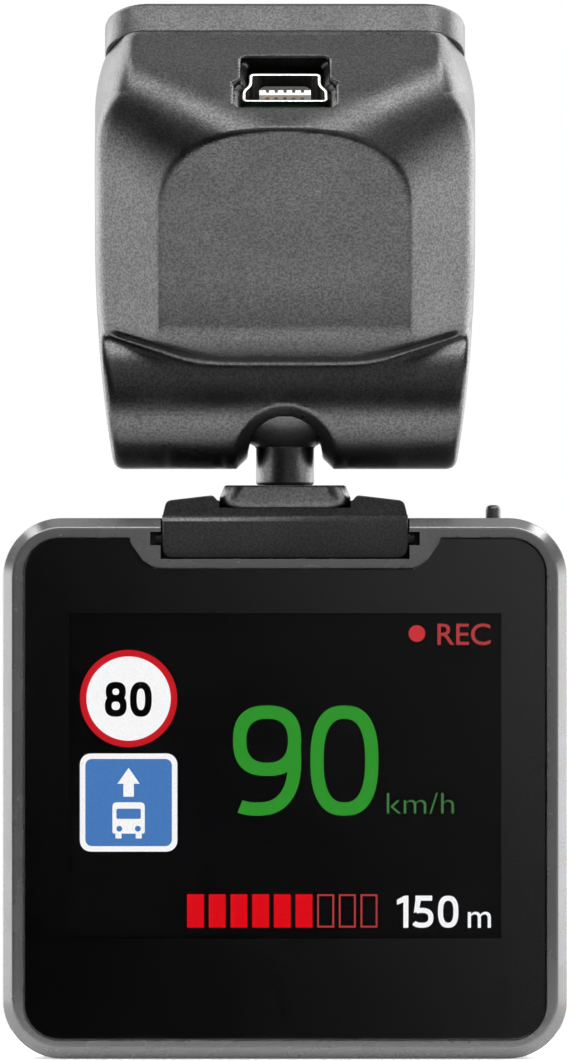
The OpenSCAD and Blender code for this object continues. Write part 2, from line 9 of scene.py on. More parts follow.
import bmesh
import bpy
import numpy as np
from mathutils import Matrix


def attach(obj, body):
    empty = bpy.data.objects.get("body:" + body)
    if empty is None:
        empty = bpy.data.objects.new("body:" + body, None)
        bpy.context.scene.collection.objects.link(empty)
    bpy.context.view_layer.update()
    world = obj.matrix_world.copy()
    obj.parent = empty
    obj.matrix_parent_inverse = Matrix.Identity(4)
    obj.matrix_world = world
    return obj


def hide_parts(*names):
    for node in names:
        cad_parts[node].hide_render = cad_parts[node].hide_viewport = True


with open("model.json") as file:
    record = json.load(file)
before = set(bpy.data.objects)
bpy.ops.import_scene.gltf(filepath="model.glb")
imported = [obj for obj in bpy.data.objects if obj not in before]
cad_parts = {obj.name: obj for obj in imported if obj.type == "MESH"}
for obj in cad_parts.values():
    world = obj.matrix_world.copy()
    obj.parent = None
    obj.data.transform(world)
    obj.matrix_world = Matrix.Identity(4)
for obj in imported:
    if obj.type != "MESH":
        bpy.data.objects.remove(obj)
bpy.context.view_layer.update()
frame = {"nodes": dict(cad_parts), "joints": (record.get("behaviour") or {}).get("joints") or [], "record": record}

MM = 0.001
BALL = np.array(next(j["pos_m"] for j in frame["joints"] if j["name"] == "ball_tilt"))
BODY = {n: body for body, nodes in frame["record"]["behaviour"]["bodies"].items() for n in nodes}
SLOT = {s["node"]: s["material_slot"] for s in frame["record"]["subparts"]}


def row(point):
    """A point in millimetres round the ball, in the frame's metres."""
    return BALL + np.array(point) * MM


# ---------- camera ----------

VIEW_HEIGHT = 97.08      # height of the view at the plane of the head's rear panel
VIEW_MID = (-0.14, -8.0, -13.04)
VIEW_DISTANCE = 2500


def add_camera():
    data = bpy.data.cameras.new("camera")
    data.sensor_fit = "VERTICAL"
    data.sensor_height = 36
    data.lens = data.sensor_height * VIEW_DISTANCE / VIEW_HEIGHT
    data.clip_start = 0.02
    data.clip_end = 50
    camera = bpy.data.objects.new("camera", data)
    camera.location = row(np.array(VIEW_MID) - (0, VIEW_DISTANCE, 0))
    camera.rotation_euler = (math.radians(90), 0, 0)
    bpy.context.scene.collection.objects.link(camera)
    bpy.context.scene.camera = camera


# ---------- outlines and solids ----------

def rectangle(x0, x1, z0, z1):
    return [(x0, z0), (x1, z0), (x1, z1), (x0, z1)]


def rounded(w, h, r, mid=(0, 0), steps=10):
    """Anticlockwise outline of a rounded rectangle."""
    points = []
    for turn, (sx, sy) in enumerate(((1, 1), (-1, 1), (-1, -1), (1, -1))):
        for i in range(steps + 1):
            a = math.radians(90 * (turn + i / steps))
            points.append((mid[0] + sx * (w / 2 - r) + r * math.cos(a),
                           mid[1] + sy * (h / 2 - r) + r * math.sin(a)))
    return points


def circle(r, mid=(0, 0), steps=48):
    turns = [2 * math.pi * i / steps for i in range(steps)]
    return [(mid[0] + r * math.cos(a), mid[1] + r * math.sin(a)) for a in turns]


def fillet(points, r, steps=4):
    """Rounds the corners of an outline; r is one length, or one for each corner."""
    p = np.array(points, float)
    radii = [r] * len(p) if np.isscalar(r) else r
    out = []
    for i, corner in enumerate(p):
        before, after = p[i - 1] - corner, p[(i + 1) % len(p)] - corner
        reach = min(radii[i], 0.499 * np.linalg.norm(before), 0.499 * np.linalg.norm(after))
        if reach <= 0:
            out.append(tuple(corner))
            continue
        a = corner + before / np.linalg.norm(before) * reach
        b = corner + after / np.linalg.norm(after) * reach
        for s in np.linspace(0, 1, steps + 1):
            out.append(tuple((1 - s) ** 2 * a + 2 * s * (1 - s) * corner + s * s * b))
    return out


def mirrored(half):
    """Closes an outline given for x >= 0, from its lowest point to its highest."""
    return list(half) + [(-x, z) for x, z in reversed(half) if x > 0]


def inset(outline, d):
    """Moves every side of an anticlockwise outline inwards by d."""
    p = np.array(outline, float)
    edge = np.roll(p, -1, axis=0) - p
    edge /= np.linalg.norm(edge, axis=1, keepdims=True)
    after = np.stack([-edge[:, 1], edge[:, 0]], axis=1)
    before = np.roll(after, 1, axis=0)
    spread = 1 + np.sum(before * after, axis=1, keepdims=True)
    return p + d * (before + after) / np.maximum(spread, 0.3)


def along_y(outline, y):
    return [(x, y, z) for x, z in outline]


def along_z(outline, z):
    return [(x, y, z) for x, y in outline]


def along_x(outline, x):
    return [(x, y, z) for y, z in outline]


PLATE_TILT = math.radians(30)
PLATE_REAR = (-8.0, 32.6)     # y and z of the plate's lower rear edge


def on_plate(outline, height):
    """Points given across the windscreen plate and down its slope, at a height over its underside."""
    c, s = math.cos(PLATE_TILT), math.sin(PLATE_TILT)
    y0, z0 = PLATE_REAR
    return [(x, y0 + u * c + height * s, z0 - u * s + height * c) for x, u in outline]


PORT_TILT = math.radians(44)
PORT_MID = (-12.2, 27.45)     # y and z of the middle of the socket's mouth


def on_port(outline, depth):
    """Points given across and up the socket's face, at a distance out of it."""
    c, s = math.cos(PORT_TILT), math.sin(PORT_TILT)
    y0, z0 = PORT_MID
    return [(x, y0 + v * c - depth * s, z0 + v * s + depth * c) for x, v in outline]


def loft(rings, closed=False):
    """Skin over a row of rings with equal numbers of points; the ends are capped unless it is closed."""
    count = len(rings[0])
    points = [p for ring in rings for p in ring]
    faces = []
    for i in range(len(rings) if closed else len(rings) - 1):
        a, b = i * count, (i + 1) % len(rings) * count
        for k in range(count):
            n = (k + 1) % count
            faces.append((a + k, a + n, b + n, b + k))
    if not closed:
        faces.append(tuple(reversed(range(count))))
        faces.append(tuple(range(len(points) - count, len(points))))
    return points, faces


def prism(outline, levels, place=along_y):
    """Solid with one outline, moved in and placed as each level (inset, position) says."""
    return loft([place(inset(outline, d) if d else outline, at) for d, at in levels])


def slab(outline, low, high, place=along_y, edge=0.0):
    """Solid between two positions, with its rims rounded off by edge."""
    if not edge:
        return prism(outline, [(0, low), (0, high)], place)
    arc = [(edge * (1 - math.sin(a)), edge * (1 - math.cos(a))) for a in np.radians([0, 30, 60, 90])]
    levels = [(d, low + t) for d, t in arc] + [(d, high - t) for d, t in reversed(arc)]
    return prism(outline, levels, place)


def box(x, y, z, edge=0.0, corner=0.0, place=along_z):
    """Box between two corners; corner rounds the edges along the placing axis, edge the rims."""
    spans = {along_z: (x, y, z), along_y: (x, z, y), along_x: (y, z, x)}[place]
    (a0, a1), (b0, b1), (low, high) = spans
    outline = rectangle(a0, a1, b0, b1)
    if corner:
        outline = rounded(a1 - a0, b1 - b0, corner, ((a0 + a1) / 2, (b0 + b1) / 2), 5)
    return slab(outline, low, high, place, edge)


def rod(r, low, high, mid=(0, 0), place=along_y, steps=40):
    return slab(circle(r, mid, steps), low, high, place)


def lathe(profile, axis="z", mid=(0, 0), steps=96):
    """Turns a closed profile of (radius, position) round an axis through mid."""
    rings = []
    for i in range(steps):
        a = 2 * math.pi * i / steps
        c, s = math.cos(a), math.sin(a)
        if axis == "z":
            rings.append([(mid[0] + r * c, mid[1] + r * s, t) for r, t in profile])
        else:
            rings.append([(mid[0] + r * c, t, mid[1] + r * s) for r, t in profile])
    return loft(rings, closed=True)


def merge(*shapes):
    """Several closed shapes as one list of points and faces."""
    points, faces = [], []
    for p, f in shapes:
        faces += [tuple(i + len(points) for i in face) for face in f]
        points += list(p)
    return points, faces


def twins(shape):
    """A shape and its mirror image in x."""
    points, faces = shape
    return merge(shape, ([(-x, y, z) for x, y, z in points], [tuple(reversed(f)) for f in faces]))


def new_object(name, shape, normals=None):
    points, faces = shape
    mesh = bpy.data.meshes.new(name)
    mesh.from_pydata([tuple(p) for p in row(points)], [], [tuple(f) for f in faces])
    mesh.update()
    obj = bpy.data.objects.new(name, mesh)
    bpy.context.scene.collection.objects.link(obj)
    if normals is None:
        face_outwards(mesh)
    return obj


def face_outwards(mesh):
    work = bmesh.new()
    work.from_mesh(mesh)
    bmesh.ops.recalc_face_normals(work, faces=work.faces)
    work.to_mesh(mesh)
    work.free()


def carved(shape, cuts=(), adds=()):
    """A solid with others added and then cut away, by exact booleans."""
    base = new_object("work", shape)
    tools = []
    for operation, shapes in (("UNION", adds), ("DIFFERENCE", cuts)):
        for other in shapes:
            tool = new_object("tool", other)
            tools.append(tool)
            step = base.modifiers.new(operation, "BOOLEAN")
            step.operation = operation
            step.solver = "EXACT"
            step.object = tool
    bpy.context.view_layer.update()
    depsgraph = bpy.context.evaluated_depsgraph_get()
    mesh = bpy.data.meshes.new_from_object(base.evaluated_get(depsgraph))
    points = [tuple((np.array(v.co) - BALL) / MM) for v in mesh.vertices]
    faces = [tuple(f.vertices) for f in mesh.polygons]
    for obj in [base, *tools]:
        bpy.data.objects.remove(obj)
    return points, faces


def piece(name, shape, material=None, body=None, crease=35, bevel=0.0, normals=None):
    """Makes a visible piece. One named after a CAD node takes that node's place, body and finish."""
    obj = new_object(name, shape, normals)
    mesh = obj.data
    mesh.materials.append(material or MATERIAL[SLOT[name]])
    mesh.shade_smooth()
    if normals is not None:
        mesh.normals_split_custom_set_from_vertices([tuple(n) for n in normals])
    else:
        mesh.set_sharp_from_angle(angle=math.radians(crease))
        if bevel:
            soften(obj, bevel)
        weigh = obj.modifiers.new("weighted", "WEIGHTED_NORMAL")
        weigh.keep_sharp = True
    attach(obj, body or BODY[name])
    if name in SLOT:
        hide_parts(name)


def soften(obj, width):
    """Small rounded edges wherever two faces meet at an angle."""
    edges = obj.modifiers.new("edges", "BEVEL")
    edges.width = width * MM
    edges.segments = 2
    edges.limit_method = "ANGLE"
    edges.angle_limit = math.radians(35)
    edges.use_clamp_overlap = True


# ---------- materials ----------

class Signal:
    """A number in a node tree; arithmetic on it adds Math nodes."""

    def __init__(self, tree, socket):
        self.tree = tree
        self.socket = socket

    def math(self, operation, *others):
        node = self.tree.nodes.new("ShaderNodeMath")
        node.operation = operation
        for i, value in enumerate((self, *others)):
            feed(self.tree, value, node.inputs[i])
        return Signal(self.tree, node.outputs[0])

    def __add__(self, other):
        return self.math("ADD", other)

    def __sub__(self, other):
        return self.math("SUBTRACT", other)

    def __mul__(self, other):
        return self.math("MULTIPLY", other)

    def ramp(self, low, high, start=0.0, end=1.0):
        """Goes smoothly from start to end as the number passes from low to high."""
        node = self.tree.nodes.new("ShaderNodeMapRange")
        node.interpolation_type = "SMOOTHSTEP"
        feed(self.tree, self, node.inputs["Value"])
        for name, value in (("From Min", low), ("From Max", high), ("To Min", start), ("To Max", end)):
            node.inputs[name].default_value = value
        return Signal(self.tree, node.outputs["Result"])

    def band(self, rise, full, fade, end):
        """1 between full and fade, and 0 outside rise and end."""
        return self.ramp(rise, full) * self.ramp(fade, end, 1, 0)


def feed(tree, value, socket):
    if isinstance(value, Signal):
        tree.links.new(value.socket, socket)
    else:
        socket.default_value = value


class Finish:
    """A material under construction: a Principled shader and the textures that drive it."""

    def __init__(self, name, colour, roughness, metallic=0.0, **settings):
        self.material = bpy.data.materials.new(name)
        self.material.use_nodes = True
        self.tree = self.material.node_tree
        self.shader = next(n for n in self.tree.nodes if n.type == "BSDF_PRINCIPLED")
        self.colour = colour
        self.set("Base Color", (*colour, 1))
        self.set("Roughness", roughness)
        self.set("Metallic", metallic)
        for name, value in settings.items():
            self.set(name.replace("_", " "), value)
        self.place = self.tree.nodes.new("ShaderNodeTexCoord").outputs["Object"]
        self.bumps = None

    def set(self, name, value):
        feed(self.tree, value, self.shader.inputs[name])

    def noise(self, size, detail=2.0, stretch=(1, 1, 1)):
        """Noise between 0 and 1 whose marks are about size millimetres across."""
        spread = self.tree.nodes.new("ShaderNodeMapping")
        spread.inputs["Scale"].default_value = [1 / s for s in stretch]
        self.tree.links.new(self.place, spread.inputs["Vector"])
        node = self.tree.nodes.new("ShaderNodeTexNoise")
        node.inputs["Scale"].default_value = 1 / (size * MM)
        node.inputs["Detail"].default_value = detail
        self.tree.links.new(spread.outputs["Vector"], node.inputs["Vector"])
        return Signal(self.tree, node.outputs["Fac"])

    def cells(self, size):
        node = self.tree.nodes.new("ShaderNodeTexVoronoi")
        node.inputs["Scale"].default_value = 1 / (size * MM)
        self.tree.links.new(self.place, node.inputs["Vector"])
        return Signal(self.tree, node.outputs["Distance"])

    def bump(self, signal, depth):
        """Raises the surface by up to depth millimetres."""
        node = self.tree.nodes.new("ShaderNodeBump")
        node.inputs["Distance"].default_value = depth * MM
        feed(self.tree, signal, node.inputs["Height"])
        if self.bumps:
            self.tree.links.new(self.bumps, node.inputs["Normal"])
        self.bumps = node.outputs["Normal"]
        self.tree.links.new(self.bumps, self.shader.inputs["Normal"])

    def tint(self, signal, other):
        """Mixes the base colour towards another one as the signal goes from 0 to 1."""
        node = self.tree.nodes.new("ShaderNodeMix")
        node.data_type = "RGBA"
        feed(self.tree, signal, node.inputs["Factor"])
        current = self.shader.inputs["Base Color"]
        if current.is_linked:
            self.tree.links.new(current.links[0].from_socket, node.inputs["A"])
        else:
            node.inputs["A"].default_value = current.default_value
        node.inputs["B"].default_value = (*other, 1)
        self.tree.links.new(node.outputs["Result"], current)


def moulded(name, colour, roughness, grain=0.16, depth=0.012):
    """Moulded plastic with a fine spark-eroded grain and faint handling marks."""
    finish = Finish(name, colour, roughness)
    grain_height = finish.noise(grain, 3)
    finish.bump(grain_height, depth)
    finish.set("Specular IOR Level", finish.noise(grain * 1.3, 1).ramp(0.3, 0.7, 0.36, 0.64))
    finish.bump(finish.noise(2.4, 1), depth * 0.4)
    cloud = finish.noise(6, 3)
    scuffs = finish.noise(1.2, 4, stretch=(1, 1, 6)).ramp(0.58, 0.72)
    finish.set("Roughness", cloud.ramp(0.3, 0.7, roughness - 0.04, roughness + 0.05) - scuffs * 0.05)
    finish.tint(cloud.ramp(0.35, 0.75) * 0.5, [c * 1.25 + 0.0005 for c in colour])
    finish.tint(grain_height.ramp(0.35, 0.65) * 0.35, [c * 0.6 for c in colour])
    return finish.material


def metal(name, colour, roughness, brush=(1, 1, 8)):
    """Plated or drawn metal with fine brushing and a few tarnished patches."""
    finish = Finish(name, colour, roughness, metallic=1.0)
    lines = finish.noise(0.12, 3, stretch=brush)
    finish.bump(lines, 0.002)
    patches = finish.noise(1.5, 3).ramp(0.45, 0.75)
    finish.set("Roughness", lines.ramp(0.3, 0.7, roughness * 0.75, roughness * 1.3))
    finish.tint(patches * 0.4, [c * 0.75 for c in colour])
    return finish.material


def circuit_board(name, colour):
    """Solder resist over copper: slightly raised tracks and a dull gloss."""
    finish = Finish(name, colour, 0.35, Coat_Weight=0.4, Coat_Roughness=0.2)
    tracks = finish.noise(1.1, 0, stretch=(1, 1, 3)).ramp(0.47, 0.5)
    finish.bump(tracks, 0.03)
    finish.tint(tracks * 0.5, (0.03, 0.2, 0.07))
    finish.tint(finish.noise(0.3, 3).ramp(0.55, 0.8) * 0.3, (0.01, 0.05, 0.02))
    finish.set("Roughness", finish.noise(0.8).ramp(0.3, 0.7, 0.25, 0.45))
    return finish.material


def clear(name, colour, ior=1.5):
    """Clear glass with a trace of smear on it."""
    finish = Finish(name, colour, 0.0, IOR=ior, Transmission_Weight=1.0)
    finish.tint(finish.noise(9, 4, stretch=(1, 1, 2)).ramp(0.4, 0.8) * 0.5, [c * 0.96 for c in colour])
    return finish.material


def painted(name, colour, roughness):
    """Satin paint: orange peel, fine flake and a little wear to a brighter tone."""
    finish = Finish(name, colour, roughness, Specular_IOR_Level=1.0)
    finish.bump(finish.noise(0.25, 2), 0.0035)
    finish.tint(finish.noise(0.06, 0).ramp(0.5, 0.75) * 0.35, [c * 1.7 for c in colour])
    finish.tint(finish.noise(5, 4).ramp(0.6, 0.8) * 0.25, [c * 0.7 for c in colour])
    finish.set("Roughness", finish.noise(3, 4).ramp(0.3, 0.7, roughness - 0.05, roughness + 0.06))
    return finish.material


def foam(name, colour):
    finish = Finish(name, colour, 0.9)
    pores = finish.cells(0.35)
    finish.bump(pores, 0.05)
    finish.tint(pores.ramp(0.0, 0.5), [c * 1.8 for c in colour])
    finish.tint(finish.noise(3, 3).ramp(0.4, 0.8) * 0.4, [c * 0.5 for c in colour])
    return finish.material


def cloth(name, colour):
    """Fine woven dust mesh."""
    finish = Finish(name, colour, 0.8)
    threads = finish.cells(0.25)
    finish.bump(threads, 0.06)
    finish.tint(threads.ramp(0.1, 0.6), [c * 0.3 for c in colour])
    return finish.material


def ceramic(name, colour):
    finish = Finish(name, colour, 0.55)
    speck = finish.noise(0.2, 3)
    finish.bump(speck, 0.01)
    finish.tint(speck.ramp(0.5, 0.8) * 0.5, [c * 0.8 for c in colour])
    finish.set("Roughness", finish.noise(1).ramp(0.3, 0.7, 0.45, 0.65))
    return finish.material


def lit(name, colour):
    """Glowing part of the screen picture, with the fine grid of the display's cells."""
    finish = Finish(name, (0.002, 0.002, 0.002), 0.4, Specular_IOR_Level=0.0)
    grid = finish.noise(0.12, 0)
    finish.set("Emission Color", (*colour, 1))
    finish.set("Emission Strength", grid.ramp(0.2, 0.8, 0.94, 1.06))
    return finish.material


def dark_screen(name, colour, roughness, gloss):
    """Near-black print or display behind the glass, very even."""
    finish = Finish(name, colour, roughness, Specular_IOR_Level=gloss)
    finish.bump(finish.noise(0.1, 0), 0.0001)
    finish.tint(finish.noise(8, 2).ramp(0.3, 0.7), [c * 1.2 for c in colour])
    finish.set("Roughness", finish.noise(2).ramp(0.3, 0.7, roughness * 0.96, roughness * 1.04))
    return finish.material


def foil(name, colour):
    """Creased aluminium foil."""
    finish = Finish(name, colour, 0.35, metallic=0.8)
    creases = finish.noise(1.2, 4)
    finish.bump(creases, 0.08)
    finish.tint(creases.ramp(0.5, 0.8) * 0.4, [c * 0.7 for c in colour])
    finish.set("Roughness", creases.ramp(0.3, 0.7, 0.25, 0.5))
    return finish.material


def grey(level):
    return level, level, level


MATERIAL = {
    "adhesive": foam("adhesive", grey(0.03)),
    "plate_plastic": moulded("plate_plastic", grey(0.01), 0.38),
    "head_plastic": moulded("head_plastic", grey(0.0015), 0.3),
    "black_plastic": moulded("black_plastic", grey(0.01), 0.36, depth=0.004),
    "foot_plastic": moulded("foot_plastic", grey(0.005), 0.33, depth=0.008),
    "frame_grey": painted("frame_grey", grey(0.036), 0.26),
    "shell_plastic": moulded("shell_plastic", grey(0.016), 0.44),
    "screen_glass": clear("screen_glass", (0.93, 0.93, 0.94), ior=1.18),
    "mask_black": dark_screen("mask_black", grey(0.0001), 0.07, 0.7),
    "display": dark_screen("display", (0.0035, 0.0035, 0.0038), 0.45, 0.0),
    "lens_glass": clear("lens_glass", (0.8, 0.85, 0.97), ior=1.6),
    "board_green": circuit_board("board_green", (0.01, 0.09, 0.03)),
    "chip_black": moulded("chip_black", (0.01, 0.01, 0.011), 0.5, grain=0.08),
    "ceramic_tan": ceramic("ceramic_tan", (0.55, 0.45, 0.32)),
    "flex_amber": ceramic("flex_amber", (0.5, 0.2, 0.03)),
    "steel": metal("steel", (0.55, 0.54, 0.52), 0.28),
    "nickel": metal("nickel", (0.72, 0.71, 0.68), 0.2),
    "gold_contact": metal("gold_contact", (0.95, 0.68, 0.3), 0.22),
    "aluminium_sheet": metal("aluminium_sheet", grey(0.7), 0.4),
    "wire_black": moulded("wire_black", grey(0.01), 0.45, depth=0.002),
    "mesh_cloth": cloth("mesh_cloth", grey(0.05)),
    "battery_foil": foil("battery_foil", (0.6, 0.6, 0.62)),
    "filter_red": clear("filter_red", (0.6, 0.1, 0.12)),
    "ring_metal": metal("ring_metal", (0.3, 0.3, 0.31), 0.33, brush=(1, 6, 1)),
}


# ---------- head housing ----------

def smooth_max(a, b, k):
    """Larger of two distances, with the edge between them rounded over a width of about k."""
    h = np.maximum(k - np.abs(a - b), 0) / k
    return np.maximum(a, b) + h * h * k / 4


def smooth_min(a, b, k):
    return -smooth_max(-a, -b, k)


REAR_Y = -16.5           # top edge of the flat rear panel
PANEL_TOP = 23.6
PANEL_LEAN = math.radians(20)
PANEL_HALF = 11.4        # half width of the flat panel
BARREL_R = 7.4
BALL_R = 6.0
SEAT_R = 6.08
HEAD_WALL = 1.5
FLOOR_Z = 4.8
PLATE_LENGTH = 38
CLAMP_HALF = (12.2, 4.2)  # recess for the ball clamp
CLAMP_RIM = 5.8
CLAMP_TOP = 9
CLAMP_SCREW_X = 9.5
SLOT_MID_Z = -6.2
SLOT_HALF = 3.4
STEM_TILT = 35           # how far the stem leans to the front and to the rear
FUNNEL_R = 4.63          # widest radius of the slot's bevelled mouth
POST_X = 12.4
POST_U = (5, 31)         # screw posts, down the slope of the plate


def plate_frame(y, z):
    """Distance down the slope of the plate, and height over its underside."""
    c, s = math.cos(PLATE_TILT), math.sin(PLATE_TILT)
    dy, dz = y - PLATE_REAR[0], z - PLATE_REAR[1]
    return dy * c - dz * s, dy * s + dz * c


def port_frame(y, z):
    """Distance up the socket's face, and out of it."""
    c, s = math.cos(PORT_TILT), math.sin(PORT_TILT)
    dy, dz = y - PORT_MID[0], z - PORT_MID[1]
    return dy * c + dz * s, -dy * s + dz * c


def brow_frame(y, z):
    """Distance up the brow from the top of the flat panel, and out of the brow's surface."""
    c, s = 0.6866, 0.7270
    dy, dz = y - REAR_Y, z - PANEL_TOP
    return dy * c + dz * s, dz * c - dy * s


def wedge(ax, y, z):
    """Distance to the faces of the upper head, without its sides and top."""

    def plane(normal, at):
        return normal[0] * (y - at[0]) + normal[1] * (z - at[1])

    slope_length, bulge = 12.38, 0.38
    along, out = brow_frame(y, z)
    crown = bulge * (1 - (2 * along / slope_length - 1) ** 2)
    upper = out - np.maximum(crown, -0.4)
    lip = plane((-0.866, 0.5), (-8.5, 32.07))
    flare = 0.007 * np.clip(10 - z, 0, 7) ** 2
    back = REAR_Y + (PANEL_TOP - z) * math.tan(PANEL_LEAN) - flare
    cheek = (0.5826 * (ax - PANEL_HALF) - 0.8130 * (y - back)) / 1.043
    panel = (back - y) * math.cos(PANEL_LEAN)
    under = plane((-0.684, -0.730), (-8.9, 3.5))
    corner = 0.297 * (ax - PANEL_HALF) - 0.955 * (z - 3.7)
    keel = plane((0.255, -0.967), (23, 10.6))
    down, _ = plate_frame(y, z)
    f = smooth_max(smooth_min(upper, lip, 0.1), cheek, 6.5)
    f = smooth_max(f, panel, 0.25)
    f = smooth_max(f, under, 0.8)
    f = smooth_max(f, corner, 0.9)
    f = smooth_max(f, keel, 0.6)
    return smooth_max(f, down - PLATE_LENGTH, 3)


def flank(ax, y, z):
    """Distance to the sides, which pull in towards the plate, the brow and the barrel."""
    _, height = plate_frame(y, z)
    _, out = brow_frame(y, z)
    wrap = 2.6 * np.clip((z - 21) / 6, 0, 1) * np.clip(1 + out / 7, 0, 1.1) ** 2
    lean = 17.4 - 0.6 * np.clip(1 + height / 5, 0, 1) ** 2 - wrap
    return smooth_max(ax - lean, (ax - 16.8 - 0.153 * z) / 1.012, 1.5)


def socket_hole(ax, y, z):
    """Opening round the socket: the shell's outline with a gap, flared where it meets the face."""
    v, out = port_frame(y, z)
    flare = 0.18 + 0.6 * np.clip((out + 0.35) / 0.5, 0, 1)
    half = 3.3 + 0.62 * np.clip((0.3 - v) / 0.65, 0, 1)
    f = smooth_max(ax - half - flare, np.abs(v) - 3.22, 0.7)
    return np.maximum(f, -out - 7)


def stem_slot(ax, y, z):
    """Slot that the stem moves in, with a bevelled mouth round the barrel."""
    turn = np.hypot(y, z)
    reach = np.hypot(ax, z - SLOT_MID_Z)
    straight = np.where(z < SLOT_MID_Z, ax, reach) - SLOT_HALF
    funnel = (reach - FUNNEL_R + 1.2 * (BARREL_R - turn)) / 1.4
    lean = math.radians(STEM_TILT)
    across = np.abs(y) * math.cos(lean) + z * math.sin(lean)
    down = np.abs(y) * math.sin(lean) - z * math.cos(lean)
    leaning = np.maximum(np.hypot(ax, across) - SLOT_HALF, -down)
    return np.maximum(np.minimum(smooth_min(straight, funnel, 0.15), leaning), z + 1.2)


def head_field(x, y, z):
    """Signed distance to the head housing, negative inside."""
    ax = np.abs(x)
    down, height = plate_frame(y, z)
    solid = wedge(ax, y, z)
    sides = flank(ax, y, z)
    upper = smooth_max(solid, sides, 1.1)
    core = smooth_min(solid, np.hypot(y, z) - BARREL_R, 1.2)
    outside = smooth_max(smooth_max(core, sides, 1.0), height, 0.12)
    hollow = np.maximum(upper + HEAD_WALL, FLOOR_Z - z)
    f = smooth_max(outside, -hollow, 0.15)
    for u in POST_U:
        post = np.hypot(ax - POST_X, down - u) - 2.4
        rib = np.maximum(np.abs(down - u) - 0.6, POST_X - ax)
        post = np.maximum(np.minimum(post, rib), -9 - height)
        post = np.maximum(np.maximum(post, height), upper + 0.3)
        f = smooth_min(f, post, 0.2)
        f = np.maximum(f, -np.maximum(np.hypot(ax - POST_X, down - u) - 1.03, -7 - height))
    bore = np.maximum(np.hypot(ax, y) - SEAT_R, np.maximum(-z, z - FLOOR_Z - 4))
    seat = np.minimum(np.sqrt(ax * ax + y * y + z * z) - SEAT_R, bore)
    f = smooth_max(f, -seat, 0.1)
    f = smooth_max(f, -stem_slot(ax, y, z), 0.12)
    f = smooth_max(f, -socket_hole(ax, y, z), 0.15)
    clamp = np.maximum(ax - CLAMP_HALF[0], np.abs(y) - CLAMP_HALF[1])
    clamp = np.minimum(clamp, np.hypot(ax, y) - CLAMP_RIM)
    f = np.maximum(f, -np.maximum(np.maximum(clamp, FLOOR_Z - z), z - CLAMP_TOP))
    screw = np.hypot(ax - CLAMP_SCREW_X, y) - 0.98
    return np.maximum(f, -np.maximum(np.maximum(screw, -1.5 - z), z - 6))


def gradient(field, p):
    h = 0.01
    g = np.empty_like(p)
    for axis in range(3):
        step = np.zeros(3)
        step[axis] = h
        g[:, axis] = field(*(p + step).T) - field(*(p - step).T)
    return g / np.maximum(np.linalg.norm(g, axis=1, keepdims=True), 1e-9)


def contour(field, axes):
    """Mesh of a signed distance field by dual contouring: each cell's point sits where the
    tangent planes of its crossed edges meet, so edges stay sharp. Returns points, faces, normals."""
    values = field(*np.meshgrid(*axes, indexing="ij", sparse=True))
    cells = [len(a) - 1 for a in axes]
    count = cells[0] * cells[1] * cells[2]
    crossings, quads = [], []
    for axis in range(3):
        low = [slice(1, -1)] * 3
        high = [slice(1, -1)] * 3
        low[axis], high[axis] = slice(0, -1), slice(1, None)
        a, b = values[tuple(low)], values[tuple(high)]
        index = np.argwhere((a < 0) != (b < 0))
        fa, fb = a[tuple(index.T)], b[tuple(index.T)]
        node = index + 1
        node[:, axis] -= 1
        start = np.stack([axes[i][node[:, i]] for i in range(3)], axis=1)
        length = axes[axis][node[:, axis] + 1] - start[:, axis]
        share = fa / (fa - fb)
        point = start.copy()
        point[:, axis] += share * length
        others = [i for i in range(3) if i != axis]
        ring = []
        for da, db in ((0, 0), (1, 0), (1, 1), (0, 1)):
            cell = node.copy()
            cell[:, others[0]] -= da
            cell[:, others[1]] -= db
            ring.append((cell[:, 0] * cells[1] + cell[:, 1]) * cells[2] + cell[:, 2])
        ring = np.stack(ring, axis=1)
        flip = (fa < 0) == (axis != 1)
        quads.append(np.where(flip[:, None], ring, ring[:, ::-1]))
        crossings.append((point, gradient(field, point), ring))
    point = np.concatenate([c[0] for c in crossings])
    normal = np.concatenate([c[1] for c in crossings])
    ring = np.concatenate([c[2] for c in crossings])
    used, slot = np.unique(ring.ravel(), return_inverse=True)
    slot = slot.reshape(ring.shape)

    def gather(values):
        return sum(np.bincount(slot[:, i], values, len(used)) for i in range(4))

    number = gather(np.ones(len(point)))
    middle = np.stack([gather(point[:, i]) for i in range(3)], axis=1) / number[:, None]
    flat = np.sum(normal * point, axis=1)
    matrix = np.empty((len(used), 3, 3))
    target = np.empty((len(used), 3))
    for i in range(3):
        target[:, i] = gather(normal[:, i] * flat)
        for j in range(3):
            matrix[:, i, j] = gather(normal[:, i] * normal[:, j])
    hold = 0.04
    target -= np.einsum("nij,nj->ni", matrix, middle)
    matrix += hold * np.eye(3)
    vertex = middle + np.linalg.solve(matrix, target[..., None])[..., 0]
    cell = np.stack(np.unravel_index(used, cells), axis=1)
    for i in range(3):
        vertex[:, i] = np.clip(vertex[:, i], axes[i][cell[:, i]], axes[i][cell[:, i] + 1])
    faces = np.searchsorted(used, np.concatenate(quads))
    return vertex, faces, gradient(field, vertex)


def head_housing():
    axes = (
        np.arange(-18.15, 18.2, 0.3),
        np.concatenate([np.arange(-17.4, -3, 0.25), np.arange(-3, 27.5, 0.45)]),
        np.arange(-8.3, 34, 0.3),
    )
    points, faces, normals = contour(head_field, axes)
    piece("head_housing", (points, faces.tolist()), normals=normals)


# ---------- windscreen plate, pad and socket ----------

